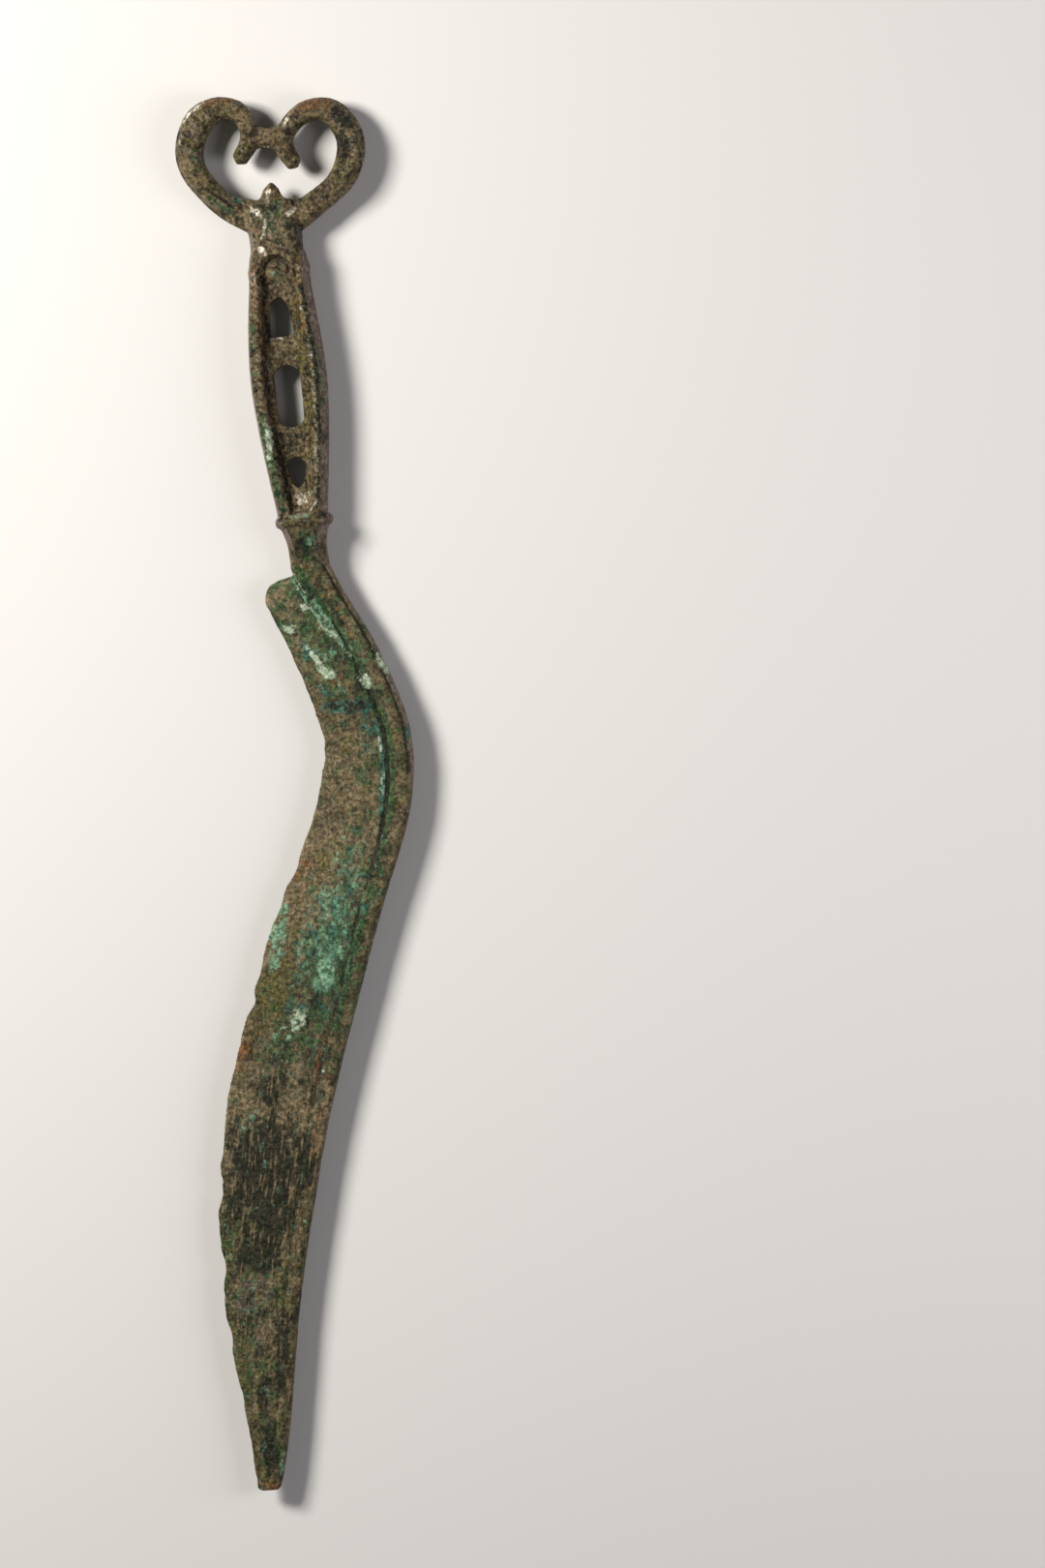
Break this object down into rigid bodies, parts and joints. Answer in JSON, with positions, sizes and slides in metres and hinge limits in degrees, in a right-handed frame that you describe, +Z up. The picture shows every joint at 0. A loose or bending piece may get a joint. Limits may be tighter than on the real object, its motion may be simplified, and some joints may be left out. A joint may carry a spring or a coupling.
{
  "type": "bronze age knife",
  "caption": "Cast bronze knife with an S-curved single-edged blade, a raised back, a collared neck, an openwork grip and a heart-shaped scroll ring pommel, all under old patina",
  "frame": {"origin": "under the middle of the whole knife, in the plane that the collar's crest lies on", "axes": "+Y runs up the hilt to the pommel, +X is the side of the blade's back, +Z is up from the face the knife lies on"},
  "size_m": [0.053, 0.2798, 0.0084],
  "materials": {
    "bronze": "worn brown bronze with old patina",
    "green_bronze": "olive and dark green patina",
    "dark_bronze": "dark brown patina in the recesses"
  },
  "bodies": {
    "root": {"blade_plate": "green_bronze", "blade_back": "bronze", "neck": "green_bronze", "collar": "bronze", "grip_rail_edge_side": "bronze", "grip_rail_back_side": "bronze", "grip_web_lower": "dark_bronze", "grip_bar_lower": "dark_bronze", "grip_bar_upper": "dark_bronze", "grip_web_upper": "dark_bronze", "pommel_throat": "bronze", "pommel_peg": "bronze", "pommel_scroll_edge_side": "bronze", "pommel_scroll_back_side": "bronze", "pommel_bridge": "bronze"}
  },
  "joints": []
}
